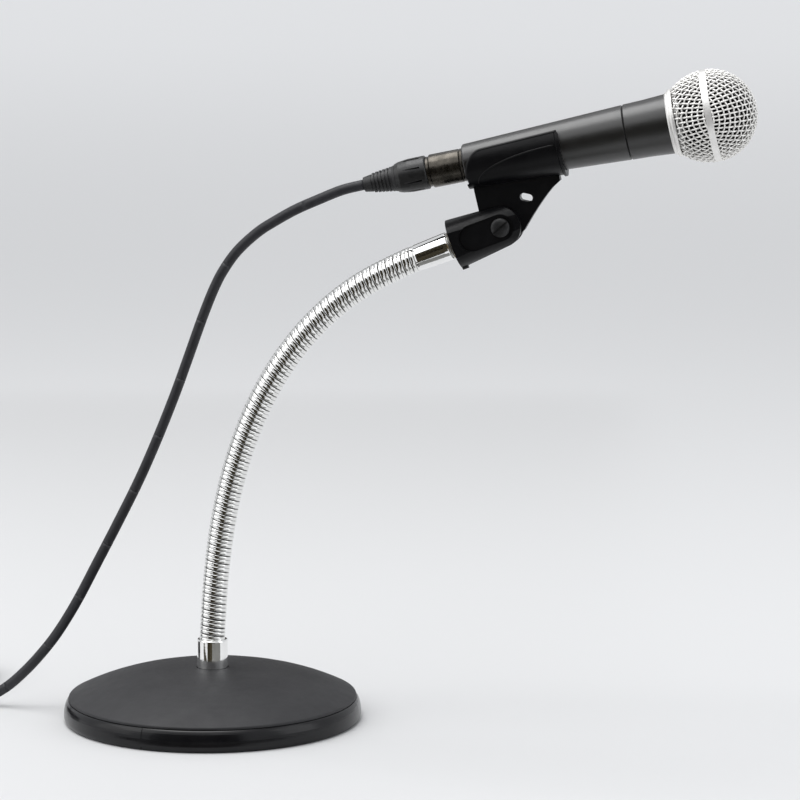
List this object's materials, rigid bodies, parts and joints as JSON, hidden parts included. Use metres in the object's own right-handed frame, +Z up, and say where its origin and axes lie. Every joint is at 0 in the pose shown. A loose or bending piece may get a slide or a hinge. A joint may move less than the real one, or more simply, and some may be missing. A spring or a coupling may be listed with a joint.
{
  "type": "desktop microphone stand",
  "caption": "Weighted round desk base with a chrome gooseneck, a swivel clip and a handheld vocal microphone with its lead.",
  "frame": {"origin": "centre of the base's underside, on the surface it stands on", "axes": "+Z up; +X towards the microphone's grille; the neck bends in the XZ plane"},
  "size_m": [0.5722, 0.201, 0.3805],
  "materials": {
    "base_enamel": "fine-textured satin black",
    "edge_rubber": "satin black rubber",
    "steel": "plated steel",
    "chrome": "polished chrome",
    "clip_plastic": "fine matt black",
    "brass": "turned brass",
    "copper": "wound wire",
    "handle_enamel": "fine-textured dark grey enamel",
    "grille_wire": "silvered woven wire",
    "nickel_dark": "dark nickel",
    "foam": "open-cell foam",
    "inner_plastic": "moulded",
    "cable_rubber": "matt rubber jacket",
    "tie_fabric": "hook-and-loop tape"
  },
  "bodies": {
    "base": {"base_plate": "base_enamel", "base_edge_strip": "edge_rubber", "base_locknut": "steel", "neck_stud": "steel", "lower_ferrule": "chrome", "cable_lead": "cable_rubber", "cable_coil": "cable_rubber", "cable_tie": "tie_fabric", "cable_tail": "cable_rubber", "far_plug_boot": "cable_rubber", "far_plug_grip": "inner_plastic", "far_plug_shell": "nickel_dark", "far_plug_insert": "inner_plastic", "far_plug_pins": "steel"},
    "neck_1": {"neck_link_1": "chrome"},
    "neck_2": {"neck_link_2": "chrome"},
    "neck_3": {"neck_link_3": "chrome"},
    "neck_4": {"neck_link_4": "chrome"},
    "neck_5": {"neck_link_5": "chrome"},
    "neck_6": {"neck_link_6": "chrome"},
    "neck_7": {"neck_link_7": "chrome"},
    "neck_8": {"neck_link_8": "chrome", "upper_ferrule": "chrome", "upper_stud": "steel", "socket_insert": "brass", "clip_fork": "clip_plastic", "pivot_screw": "steel", "pivot_nut": "steel"},
    "holder": {"clip_sleeve": "clip_plastic"},
    "microphone": {"mic_handle": "handle_enamel", "mic_collar": "handle_enamel", "grille_ring": "grille_wire", "grille_rear": "grille_wire", "grille_band": "grille_wire", "grille_front": "grille_wire", "grille_foam": "foam", "mic_cartridge": "steel", "cartridge_mount": "cable_rubber", "mic_transformer": "copper", "mic_socket": "inner_plastic", "mic_pins": "steel", "plug_shell": "nickel_dark", "plug_insert": "inner_plastic", "plug_grip": "inner_plastic", "plug_boot": "cable_rubber"},
    "latch": {"plug_latch": "nickel_dark"}
  },
  "joints": [
    {"name": "bend_1", "type": "hinge", "parent": "base", "child": "neck_1", "pos_m": [0, 0, 0.048], "axis": [0, 1, 0], "range_deg": [-11, 11], "deforming": ["cable_lead"]},
    {"name": "sway_1", "type": "hinge", "parent": "neck_1", "child": "neck_2", "pos_m": [0.00206, 0, 0.08174], "axis": [0.9956, 0, -0.0942], "range_deg": [-10, 10]},
    {"name": "bend_2", "type": "hinge", "parent": "neck_2", "child": "neck_3", "pos_m": [0.00636, 0, 0.11526], "axis": [0, 1, 0], "range_deg": [-11, 11]},
    {"name": "sway_2", "type": "hinge", "parent": "neck_3", "child": "neck_4", "pos_m": [0.01383, 0, 0.14823], "axis": [0.9598, 0, -0.2808], "range_deg": [-10, 10]},
    {"name": "bend_3", "type": "hinge", "parent": "neck_4", "child": "neck_5", "pos_m": [0.02531, 0, 0.18002], "axis": [0, 1, 0], "range_deg": [-11, 11]},
    {"name": "sway_3", "type": "hinge", "parent": "neck_5", "child": "neck_6", "pos_m": [0.04148, 0, 0.2097], "axis": [0.8314, 0, -0.5557], "range_deg": [-10, 10]},
    {"name": "bend_4", "type": "hinge", "parent": "neck_6", "child": "neck_7", "pos_m": [0.06272, 0, 0.23599], "axis": [0, 1, 0], "range_deg": [-11, 11]},
    {"name": "sway_4", "type": "hinge", "parent": "neck_7", "child": "neck_8", "pos_m": [0.08897, 0, 0.25729], "axis": [0.5336, 0, -0.8458], "range_deg": [-10, 10]},
    {"name": "clip_tilt", "type": "hinge", "parent": "neck_8", "child": "holder", "pos_m": [0.16972, 0, 0.29108], "axis": [0, 1, 0], "range_deg": [-18, 70]},
    {"name": "mic_slide", "type": "slide", "parent": "holder", "child": "microphone", "axis": [0.9792, 0, 0.2028], "range_m": [0, 0.12]},
    {"name": "latch_press", "type": "slide", "parent": "microphone", "child": "latch", "axis": [0, -1, 0], "range_m": [0, 0.0012], "stiffness_N_per_m": 300, "springref_m": -0.001}
  ],
  "couplings": [
    {"joint": "bend_2", "follows": "bend_1", "ratio": 1},
    {"joint": "sway_2", "follows": "sway_1", "ratio": 1},
    {"joint": "bend_3", "follows": "bend_1", "ratio": 1},
    {"joint": "sway_3", "follows": "sway_1", "ratio": 1},
    {"joint": "bend_4", "follows": "bend_1", "ratio": 1},
    {"joint": "sway_4", "follows": "sway_1", "ratio": 1}
  ]
}
